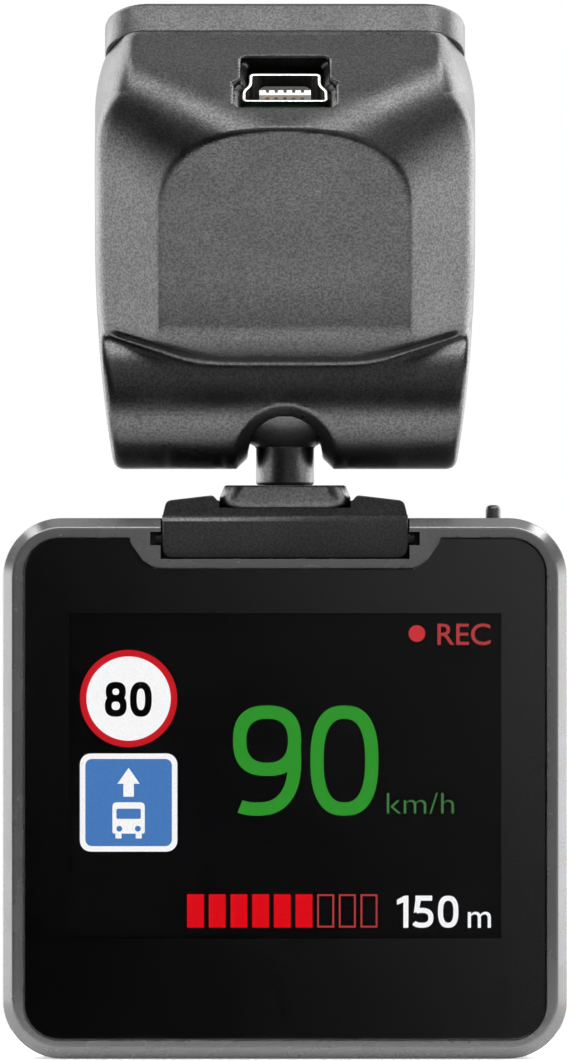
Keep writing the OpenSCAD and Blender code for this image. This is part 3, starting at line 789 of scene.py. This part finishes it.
def windscreen_plate():
    outline = rounded(33, PLATE_LENGTH, 4, (0, PLATE_LENGTH / 2), 14)
    levels = [(0.3, 0), (0.08, 0.06), (0, 0.2), (0, 2.75), (0.07, 2.98), (0.25, 3.14), (0.5, 3.2)]
    cuts = []
    for u in POST_U:
        cuts.append(twins(rod(1.1, -1, 4, (POST_X, u), on_plate)))
        cuts.append(twins(rod(2.1, 1.8, 4, (POST_X, u), on_plate)))
    piece("windscreen_plate", carved(prism(outline, levels, on_plate), cuts))


def adhesive_pad():
    outline = rounded(29, 34, 3, (0, PLATE_LENGTH / 2), 8)
    piece("adhesive_pad", slab(outline, 3.2, 4.0, on_plate, 0.12))


def socket_outline():
    half = [(0, -1.9), (3.92, -1.9), (3.92, -0.35), (3.3, 0.3), (3.3, 1.9), (0, 1.9)]
    return fillet(mirrored(half), [0, 0.5, 0.5, 0.5, 0.5, 0, 0.5, 0.5, 0.5, 0.5], 4)


def usb_socket():
    levels = [(0, -8.6), (0, -0.1), (0.05, -0.02), (0.12, 0), (0.2, 0), (0.27, -0.04), (0.3, -0.12),
              (0.3, -8.2)]
    piece("usb_shell", prism(socket_outline(), levels, on_port))
    tip = fillet([(-2.36, -0.02), (2.36, -0.02), (2.36, 0.12), (1.9, 0.5), (-1.9, 0.5), (-2.36, 0.12)],
                 0.06, 2)
    carrier = merge(slab(tip, -8.1, -0.35, on_port, 0.04),
                    slab(rounded(5.8, 3.05, 0.2, (0, -0.025), 3), -8.2, -7.2, on_port, 0.05))
    piece("usb_tongue", carrier)
    # The bar under the tongue's tip stands for its bevel; its light grey colour is painted highlight, the light
    # that this bevel catches.
    face = Finish("tongue_bevel_painted_highlight", (0.62, 0.62, 0.6), 0.5)
    face.bump(face.noise(0.1, 2), 0.003)
    face.tint(face.noise(0.5, 3).ramp(0.4, 0.7) * 0.3, (0.45, 0.45, 0.42))
    bar = slab(rounded(4.72, 0.66, 0.06, (0, -0.36), 3), -8.1, -0.33, on_port, 0.03)
    piece("usb_contact_bar", bar, face.material, body="head")
    pads = merge(*[slab(rounded(0.3, 0.5, 0.04, (i * 0.8, -0.13), 2), -1.5, -0.3, on_port, 0.03)
                   for i in range(-2, 3)])
    piece("usb_contact_seats", pads, MATERIAL["black_plastic"], body="head")


# ---------- ball and foot ----------

FOOT_Y = (-6.2, 7.4)
FOOT_BASE = -15.54
FOOT_HALF = 11.25
FOOT_EDGE = 0.3          # depth of the bevel along the block's rear upper edge


def ball_stud():
    stem, foot_top, bore = 2.65, -8.88, 1.6
    start = math.asin(stem / BALL_R) + 0.03
    end = math.pi - math.asin(bore / BALL_R)
    arc = [(BALL_R * math.sin(a), -BALL_R * math.cos(a)) for a in np.linspace(start, end, 40)]
    profile = [(1.2, -13), (3.05, -13), (3.05, -12.2), (1.9, -12.2), (1.9, foot_top), (2.5, foot_top),
               (stem - 0.02, foot_top + 0.14), (stem, foot_top + 0.3), (stem, arc[0][1] - 0.2)]
    profile += arc + [(bore, 5.0), (bore, -6.2), (1.2, -6.2)]
    piece("ball_stud", lathe(profile), crease=40)


def foot_cap():
    y1 = FOOT_Y[1] - 0.6
    levels = [(5.5, -10.96, 0.12), (5.78, -10.86, 0.03), (5.97, -10.6, 0), (6.0, -10.3, 0),
              (6.0, -10.05, 0), (5.62, -9.1, 0), (5.55, -8.98, 0.03), (5.42, -8.9, 0.12)]
    rings = []
    for half, z, d in levels:
        y0 = FOOT_Y[0] - 0.6 - 0.33 * (z + 8.9) + d
        rings.append(along_z(rounded(2 * half, y1 - d - y0, 1.9, (0, (y0 + y1 - d) / 2), 8), z))
    cuts = [rod(1.95, -12, -8, place=along_z)]
    cuts.append(twins(rod(0.73, -11, -10.02, (4.6, 0.6), along_z, steps=20)))
    piece("foot_cap", carved(loft(rings), cuts))


def foot_block():
    low = fillet(rectangle(-FOOT_HALF, FOOT_HALF, FOOT_BASE, -11.6), [1, 1, 0.1, 0.1], 5)
    base = slab(low, FOOT_Y[0], FOOT_Y[1], along_y, 0.12)
    half = [(0, -12.4), (FOOT_HALF - 0.02, -12.4), (FOOT_HALF - 0.02, -11.7), (10.9, -10.3), (6.6, -9.8),
            (6.2, -10.3), (0, -10.3)]
    shoulders = fillet(mirrored(half), [0, 0, 0.3, 0.5, 0.25, 0.2, 0, 0.2, 0.25, 0.5, 0.3, 0], 4)
    adds = [slab(shoulders, FOOT_Y[0] + FOOT_EDGE, FOOT_Y[1] - 0.02, along_y, 0.12)]
    adds.append(twins(box((10.2, 11.85), (FOOT_Y[0] + 0.6, FOOT_Y[1] - 0.6), (-14.15, -13.45), 0.12)))
    chamfer = [(FOOT_Y[0] - FOOT_EDGE, -12.7), (FOOT_Y[0] + FOOT_EDGE + 0.01, -11.7),
               (FOOT_Y[0] + FOOT_EDGE + 0.01, -10), (FOOT_Y[0] - FOOT_EDGE, -10)]
    cuts = [
        slab(chamfer, -14, 14, along_x),
        box((-6.02, 6.02), (FOOT_Y[0] - 1, FOOT_Y[1] - 0.58), (-10.96, -9)),
        rod(1.95, -13, -10, place=along_z),
        rod(3.2, -14.1, -12.1, place=along_z),
        box((-9, 9), (-3.4, 5.4), (FOOT_BASE - 1, -14)),
        twins(rod(0.73, -15, -10, (4.6, 0.6), along_z, steps=20)),
    ]
    piece("foot_block", carved(base, cuts, adds))


# ---------- camera body ----------

BODY_W = 51.7
BODY_H = 49.5
BODY_R = 5.4
BODY_TOP = -11.9
BODY_MID = BODY_TOP - BODY_H / 2
BODY_LOW = BODY_TOP - BODY_H
FRAME_Y = (-6.8, 8.6)
SHELL_Y = 14
TURRET_Y = 18.6
WALL = 1.67
GLASS_Y = -7.0
LENS_Z = -35.5
DOCK_FLOOR = -15.66
SCREWS = [(x, z) for x in (-21.2, 21.2) for z in (-16.4, -56.9)]
BOARD_SCREWS = [(x, z) for x in (-17.5, 17.5) for z in (-21.5, -54)]
KEY_X = 19.1
KEY_Y = 0.2
CARD_Y = 4
CARD_Z = -45.2
SPEAKER = (9.5, -52.2)


def body_outline(t=0.0, steps=16):
    return rounded(BODY_W - 2 * t, BODY_H - 2 * t, BODY_R - t, (0, BODY_MID), steps)


def glass_outline():
    """Cover glass: a rounded square with a notch round the foot."""
    w, h, r, mid_z = 47.9, 46, 3.3, -36.7
    top = mid_z + h / 2
    corner = [p for p in rounded(w, h, r, (0, mid_z), 10) if p[0] > 0]
    low = [p for p in corner if p[1] < mid_z]
    high = [p for p in corner if p[1] >= mid_z]
    notch = fillet([(20, top), (14.2, top), (14.2, -14.2), (13.0, -15.9), (11.9, -16.5), (0, -16.5)],
                   [0, 0.5, 0.8, 0.8, 0.6, 0], 4)[1:]
    half = [(0, mid_z - h / 2)] + low + high + notch
    return mirrored(half)


def rear_frame():
    levels = [(0.08, FRAME_Y[1]), (0, FRAME_Y[1] - 0.08), (0, -5.86), (0.02, -5.94), (0.07, -6.02),
              (0.76, -6.68), (0.84, -6.75), (0.95, -6.79), (1.1, -6.8)]
    shell = prism(body_outline(), levels)
    hollow = [
        slab(inset(glass_outline(), -0.06), -8, -5.7),
        slab(rounded(44, 40, 2, (0, -38)), -6.5, -4),
        slab(body_outline(WALL), -4.7, FRAME_Y[1] + 1),
    ]
    hollow_shell = carved(shell, hollow)
    adds = [box((-14, 14), (-5, FRAME_Y[1] - 0.02), (-16.8, BODY_TOP - WALL - 0.05 + 0.3))]
    adds += [rod(2.7, 4.1, FRAME_Y[1] - 0.02, at) for at in SCREWS]
    cuts = [
        box((-11.4, 11.4), (FRAME_Y[0] - 1, FOOT_Y[1] + 0.15), (DOCK_FLOOR, BODY_TOP + 1), 0,
            0, along_y),
        twins(box((11.3, 12.35), (FRAME_Y[0] - 1, FOOT_Y[1] + 0.15), (-14.41, -13.15), 0, 0.12, along_y)),
        box((-6.1, 6.1), (-2, 2), (-17, DOCK_FLOOR + 0.1)),
        box((-3, 3), (3.4, 6.8), (-17, DOCK_FLOOR + 0.1)),
        box((KEY_X - 0.85, KEY_X + 0.85), (KEY_Y - 3.15, KEY_Y + 3.15), (BODY_TOP - 3, BODY_TOP + 1),
            0, 0.6),
        box((-30, -20), (CARD_Y - 0.65, CARD_Y + 0.65), (CARD_Z - 5.7, CARD_Z + 5.7), 0, 0.3, along_x),
        rod(3.2, CARD_Y - 1.6, CARD_Y + 1.6, (-27.6, CARD_Z)),
        rod(0.9, BODY_LOW - 1, BODY_LOW + 3, (14, 1.5), along_z, steps=32),
        rod(0.5, BODY_LOW - 1, BODY_LOW + 3, (-14, 1.5), along_z, steps=24),
    ]
    cuts += [rod(0.83, 4, 10, at, steps=24) for at in SCREWS]
    piece("rear_frame", carved(hollow_shell, cuts, adds), bevel=0.06)


def front_shell():
    y0, y1, r = FRAME_Y[1], SHELL_Y, 2.4
    arc = [(r * (1 - math.cos(a)), y1 - r * (1 - math.sin(a))) for a in np.radians(range(0, 91, 10))]
    outer = prism(body_outline(), [(0.08, y0), (0, y0 + 0.08)] + arc)
    inner = carved(outer, [slab(body_outline(WALL), y0 - 1, y1 - 1.5)])
    turret = lathe([(3, y1 - 1.5), (11.8, y1 - 1.5), (11.8, TURRET_Y - 0.5), (11.73, TURRET_Y - 0.25),
                    (11.55, TURRET_Y - 0.07), (11.3, TURRET_Y), (3, TURRET_Y)], "y", (0, LENS_Z))
    adds = [turret]
    adds += [rod(2.7, y0, y1 - 1, at) for at in SCREWS]
    adds += [rod(1.8, 2, y1 - 1, at, steps=28) for at in BOARD_SCREWS]
    cuts = [rod(7.6, y1 - 2, TURRET_Y + 1, (0, LENS_Z), steps=96)]
    cuts += [rod(1.1, y0 - 1, y1 + 1, at, steps=28) for at in SCREWS]
    cuts += [rod(2, y1 - 1.2, y1 + 1, at, steps=32) for at in SCREWS]
    cuts += [rod(0.73, 1, 7, at, steps=20) for at in BOARD_SCREWS]
    holes = [rod(0.45, y1 - 2, y1 + 1, (SPEAKER[0] + 1.5 * i, SPEAKER[1] + 1.5 * j), steps=20)
             for i in range(-3, 4) for j in range(-1, 2)]
    holes.append(rod(0.5, y1 - 2, y1 + 1, (-13.5, SPEAKER[1]), steps=20))
    cuts.append(merge(*holes))
    piece("front_shell", carved(inner, cuts, adds), bevel=0.06)


def cover_glass():
    levels = [(0.1, GLASS_Y + 1.07), (0, GLASS_Y + 0.97), (0, GLASS_Y + 0.14), (0.05, GLASS_Y + 0.04),
              (0.16, GLASS_Y)]
    piece("cover_glass", prism(glass_outline(), levels))


def lens_group():
    ring = [(7.2, -0.6), (7.55, -0.6), (7.57, 0), (11.2, 0), (11.3, 0.08), (11.3, 0.55), (11.2, 0.8),
            (10.7, 1.33), (10.5, 1.4), (9.7, 1.4), (9.5, 1.34), (7.35, 0.42), (7.2, 0.32)]
    piece("lens_ring", lathe([(r, TURRET_Y + t) for r, t in ring], "y", (0, LENS_Z)), crease=30)
    barrel = [(3.6, 8.2), (5.5, 8.2), (5.5, 14), (6.8, 14), (6.8, 17.85), (6.65, 18), (6.0, 18),
              (5.4, 17.7), (5.4, 15.8), (3.6, 15.8)]
    piece("lens_barrel", lathe(barrel, "y", (0, LENS_Z)), crease=30)
    r, bulge, rim, y = 5.3, 1.0, 0.15, 16.9
    share = np.linspace(0.02, 1, 14)
    face = [(r * t, y + rim + (bulge - rim) * (1 - t * t)) for t in share]
    back = [(r * t, y - rim - (bulge - rim) * (1 - t * t)) for t in share[::-1]]
    piece("front_lens", lathe(face + back, "y", (0, LENS_Z)), crease=50)


def power_key():
    bar = prism(rounded(1.34, 6, 0.6, (KEY_X, KEY_Y), 6),
                [(0, BODY_TOP - 2), (0, BODY_TOP + 0.75), (0.06, BODY_TOP + 0.98), (0.2, BODY_TOP + 1.13),
                 (0.4, BODY_TOP + 1.2)], along_z)
    collar = box((KEY_X - 1.5, KEY_X + 1.5), (KEY_Y - 3.5, KEY_Y + 3.5), (BODY_TOP - 2.2, BODY_TOP - 1.77),
                 0.08, 0.3)
    piece("power_key", carved(bar, adds=[collar]))


# ---------- screen picture ----------

PICTURE_Y = -5.62            # just in front of the display panel
PICTURE_STEP = 0.02

RED = (0.76, 0.002, 0.008)
DULL_RED = (0.46, 0.045, 0.045)
GREEN = (0.03, 0.3, 0.026)
DULL_GREEN = (0.06, 0.22, 0.06)
WHITE = grey(1.0)
BLUE = (0.068, 0.205, 0.52)
INK = grey(0.001)


def layer_depths(layer):
    """Front and back of a layer of the picture; higher layers lie nearer the driver."""
    y = PICTURE_Y - layer * PICTURE_STEP
    return y - PICTURE_STEP * 0.6, y


def sheet(outline, layer):
    return slab(outline, *layer_depths(layer))


def bordered(outer, inner, layer):
    """Flat ring between two outlines with equal numbers of points."""
    front, y = layer_depths(layer)
    return loft([along_y(outer, y), along_y(outer, front), along_y(inner, front), along_y(inner, y)],
                closed=True)


def lettering(text, x, z, weight, layer):
    """Plain built-in lettering stretched into a box; weight thickens its strokes."""
    curve = bpy.data.curves.new("letters", "FONT")
    curve.body = text
    curve.offset = weight
    curve.resolution_u = 6
    obj = bpy.data.objects.new("letters", curve)
    bpy.context.scene.collection.objects.link(obj)
    bpy.context.view_layer.update()
    mesh = bpy.data.meshes.new_from_object(obj.evaluated_get(bpy.context.evaluated_depsgraph_get()))
    p = np.array([v.co[:2] for v in mesh.vertices])
    low, high = p.min(0), p.max(0)
    p = (p - low) / (high - low) * (x[1] - x[0], z[1] - z[0]) + (x[0], z[0])
    y = PICTURE_Y - layer * PICTURE_STEP - PICTURE_STEP * 0.6
    faces = [tuple(f.vertices) for f in mesh.polygons]
    bpy.data.objects.remove(obj)
    return [(a, y, b) for a, b in p], faces


def oval(x0, x1, z0, z1, share=(0, 1), power=2.5, steps=40):
    """Points round a squarish oval, anticlockwise from its right-hand side, over part of the turn."""
    turn = np.linspace(share[0], share[1], steps) * 2 * math.pi
    across = np.sign(np.cos(turn)) * abs(np.cos(turn)) ** (2 / power) * (x1 - x0) / 2
    up = np.sign(np.sin(turn)) * abs(np.sin(turn)) ** (2 / power) * (z1 - z0) / 2
    return list(zip((x0 + x1) / 2 + across, (z0 + z1) / 2 + up))


def hoop(area, w, layer):
    """Closed oval stroke of width w just inside an area."""
    x0, x1, z0, z1 = area
    turn = (0, 39 / 40)
    return bordered(oval(x0, x1, z0, z1, turn), oval(x0 + w, x1 - w, z0 + w, z1 - w, turn), layer)


def stroke(path, w, layer):
    """Flat ribbon of width w along an open path."""
    p = np.array(path)
    step = np.gradient(p, axis=0)
    across = np.stack([-step[:, 1], step[:, 0]], 1) / np.linalg.norm(step, axis=1)[:, None] * w / 2
    return sheet([tuple(q) for q in np.concatenate([p + across, (p - across)[::-1]])], layer)


def digit(figure, area, w, layer=1):
    """A 0, 1, 5, 8 or 9 drawn with strokes of width w in the area (x0, x1, z0, z1)."""
    x0, x1, z0, z1 = area
    wide, high, r = x1 - x0, z1 - z0, w / 2
    if figure == "0":
        return hoop(area, w, layer)
    if figure == "8":
        waist = z0 + high * 0.53
        return merge(hoop((x0, x1, z0, waist + r), w, layer),
                     hoop((x0 + wide * 0.04, x1 - wide * 0.04, waist - r, z1), w, layer))
    if figure == "9":
        chin = z0 + high * 0.36
        tail = oval(x0 - wide * 0.2, x1 - r, z0 + r, z1 - high * 0.04, (-0.31, 0.035))
        return merge(hoop((x0, x1, chin, z1), w, layer), stroke(tail, w, layer))
    if figure == "1":
        return sheet([(x1 - w, z0), (x1, z0), (x1, z1), (x1 - w * 0.8, z1), (x0, z1 - high * 0.13),
                      (x0, z1 - high * 0.13 - w), (x1 - w, z1 - high * 0.05 - w)], layer)
    top = sheet(rectangle(x0 + wide * 0.12, x1 - wide * 0.06, z1 - w, z1), layer)
    back = sheet([(x0 + wide * 0.04, z0 + high * 0.46), (x0 + wide * 0.04 + w, z0 + high * 0.52),
                  (x0 + wide * 0.14 + w, z1 - w), (x0 + wide * 0.12, z1 - w)], layer)
    bowl = oval(x0 - wide * 0.02, x1 - r, z0 + r, z0 + high * 0.62 - r, (-0.4, 0.34))
    return merge(top, back, stroke(bowl, w, layer))


def number(text, x, z, w, gap, layer=1):
    """Digits of equal width side by side; a 1 takes two thirds of the width."""
    share = [0.56 if c == "1" else 1 for c in text]
    unit = (x[1] - x[0] - gap * (len(text) - 1)) / sum(share)
    parts, left = [], x[0]
    for c, part in zip(text, share):
        parts.append(digit(c, (left, left + unit * part, *z), w, layer))
        left += unit * part + gap
    return merge(*parts)


def picture(name, shape, colour):
    piece(name, shape, lit(name, colour), body="camera")


def speed_sign():
    mid, outer, inner = (-14.33, -28.43), 4.46, 3.87
    picture("sign_rim", bordered(circle(outer, mid, 72), circle(inner, mid, 72), 1), (0.6, 0.01, 0.018))
    picture("sign_disc", sheet(circle(inner - 0.01, mid, 72), 1), WHITE)
    picture("sign_number", number("80", (-16.5, -12.2), (-30.1, -26.9), 0.62, 0.3, 3), INK)


def lane_sign():
    x0, x1, z0, z1 = -18.79, -9.86, -42.45, -33.46
    mid = ((x0 + x1) / 2, (z0 + z1) / 2)
    picture("lane_sign_edge", sheet(rounded(x1 - x0, z1 - z0, 1.0, mid, 6), 1), WHITE)
    picture("lane_sign_field", sheet(rounded(x1 - x0 - 1.0, z1 - z0 - 1.0, 0.6, mid, 6), 2), BLUE)
    cx = mid[0]
    arrow = [(cx - 0.48, -37.42), (cx + 0.48, -37.42), (cx + 0.48, -36.23), (cx + 1.02, -36.23),
             (cx, -34.77), (cx - 1.02, -36.23), (cx - 0.48, -36.23)]
    coach = merge(
        sheet(arrow, 3),
        sheet(fillet(rectangle(cx - 1.48, cx + 1.48, -40.8, -37.93), [0.2, 0.2, 0.4, 0.4], 3), 3),
        sheet(rectangle(cx - 1.2, cx - 0.65, -41.24, -40.75), 3),
        sheet(rectangle(cx + 0.65, cx + 1.2, -41.24, -40.75), 3))
    picture("lane_sign_coach", coach, WHITE)
    glass = merge(sheet(rounded(2.24, 0.94, 0.15, (cx, -38.98), 3), 4),
                  sheet(circle(0.27, (cx - 0.85, -40.35), 16), 4),
                  sheet(circle(0.27, (cx + 0.85, -40.35), 16), 4))
    picture("lane_sign_windows", glass, BLUE)


def distance_bars():
    width, height, pitch, left, base = 1.55, 3.05, 1.986, -8.97, -49.4
    filled, hollow = [], []
    for i in range(9):
        x = left + i * pitch
        outline = rectangle(x, x + width, base, base + height)
        if i < 6:
            filled.append(sheet(outline, 1))
        else:
            hollow.append(bordered(outline, inset(outline, 0.16), 1))
    picture("bars_filled", merge(*filled), RED)
    picture("bars_open", merge(*hollow), DULL_RED)
    picture("distance", merge(number("150", (10.25, 15.88), (-49.42, -46.48), 0.46, 0.42),
                              lettering("m", (16.74, 18.85), (-49.42, -47.95), 0.0, 1)), WHITE)


def screen_picture():
    picture("record_dot", sheet(circle(0.76, (12.08, -22.47), 32), 1), (0.6, 0.035, 0.04))
    picture("record_word", lettering("REC", (13.96, 18.82), (-23.53, -21.55), 0.005, 1), DULL_RED)
    speed_sign()
    lane_sign()
    picture("speed", number("90", (-4.76, 8.56), (-39.16, -29.06), 1.22, 0.83), GREEN)
    picture("speed_unit", lettering("km/h", (9.33, 15.46), (-38.98, -37.06), -0.012, 1), DULL_GREEN)
    distance_bars()


# ---------- carried-over CAD nodes ----------

def finish_cad_nodes():
    """Gives every CAD node that still shows its slot's material and softened edges."""
    for name, obj in frame["nodes"].items():
        obj.data.materials.clear()
        obj.data.materials.append(MATERIAL[SLOT[name]])
        if not obj.hide_render and name not in ("glass_mask", "head_wires", "ball_wires"):
            soften(obj, 0.05)


# ---------- light and floor ----------

def studio_world():
    """Soft studio light as a function of direction; the camera itself sees plain white behind."""
    world = bpy.data.worlds.new("studio")
    bpy.context.scene.world = world
    world.use_nodes = True
    tree = world.node_tree
    tree.nodes.clear()
    way = tree.nodes.new("ShaderNodeTexCoord")
    split = tree.nodes.new("ShaderNodeSeparateXYZ")
    tree.links.new(way.outputs["Generated"], split.inputs[0])
    x, y, z = (Signal(tree, split.outputs[i]) for i in range(3))
    degrees = 180 / math.pi
    side = x.math("ABSOLUTE").math("ARCTAN2", y * -1.0) * degrees    # 0 on the driver's side
    raised = z.math("ARCSINE") * degrees
    front = side.ramp(50, 62, 1, 0)
    # Two tall boxes at the sides, a little stronger on the right.
    flanks = side.band(50, 62, 100, 112) * raised.band(-44, -34, 4, 14) * (x * 0.5 + 7)
    # Light from behind for the edges that turn away; it fades towards the middle.
    rear = side.ramp(98, 108) * side.ramp(112, 168, 1, 0.15) * raised.band(-40, -30, 50, 60)
    rear = rear * (x * 0.8 + 9.5)
    # A narrow strip high in front, seen in the plate's edge and the foot's bevel.
    brow = raised.band(46, 53, 60, 67) * side.ramp(90, 110, 1, 0) * (x * 8.0 + 15)
    overhead = raised.ramp(66, 80) * y.ramp(-0.35, 0.3, 1.7, 2.6)
    # A low strip in front, seen in the leaning panel, the barrel and the foot.
    apron = front * raised.band(-68, -60, -38, -30) * 5.8
    # The dim gradient that the cover glass mirrors.
    dim = (x + z * 0.6).ramp(-0.012, 0.022, 0.0, 0.95) * front * raised.band(-12, -5, 40, 52)
    ambient = (front * -1.0 + 1.0) * 0.06
    radiance = dim + ambient + flanks + rear + brow + overhead + apron
    light = tree.nodes.new("ShaderNodeBackground")
    feed(tree, radiance, light.inputs["Strength"])
    white = tree.nodes.new("ShaderNodeBackground")
    white.inputs["Color"].default_value = (1, 1, 1, 1)
    path = tree.nodes.new("ShaderNodeLightPath")
    mix = tree.nodes.new("ShaderNodeMixShader")
    tree.links.new(path.outputs["Is Camera Ray"], mix.inputs[0])
    tree.links.new(light.outputs[0], mix.inputs[1])
    tree.links.new(white.outputs[0], mix.inputs[2])
    out = tree.nodes.new("ShaderNodeOutputWorld")
    tree.links.new(mix.outputs[0], out.inputs["Surface"])


def add_floor():
    finish = Finish("floor", (0.93, 0.93, 0.93), 0.8)
    finish.tint(finish.noise(40, 2).ramp(0.3, 0.7) * 0.2, (0.9, 0.9, 0.9))
    finish.set("Emission Color", (1, 1, 1, 1))
    finish.set("Emission Strength", 0.4)
    size, near, z = 140, -40, BODY_LOW - 0.1     # ends a little in front of the body
    floor = new_object("floor", slab(rectangle(-size, size, near, size), z - 5, z, along_z))
    floor.data.materials.append(finish.material)


add_camera()
head_housing()
windscreen_plate()
adhesive_pad()
usb_socket()
ball_stud()
foot_cap()
foot_block()
rear_frame()
front_shell()
cover_glass()
lens_group()
power_key()
screen_picture()
finish_cad_nodes()
studio_world()
add_floor()
bpy.context.scene.view_settings.view_transform = "Standard"
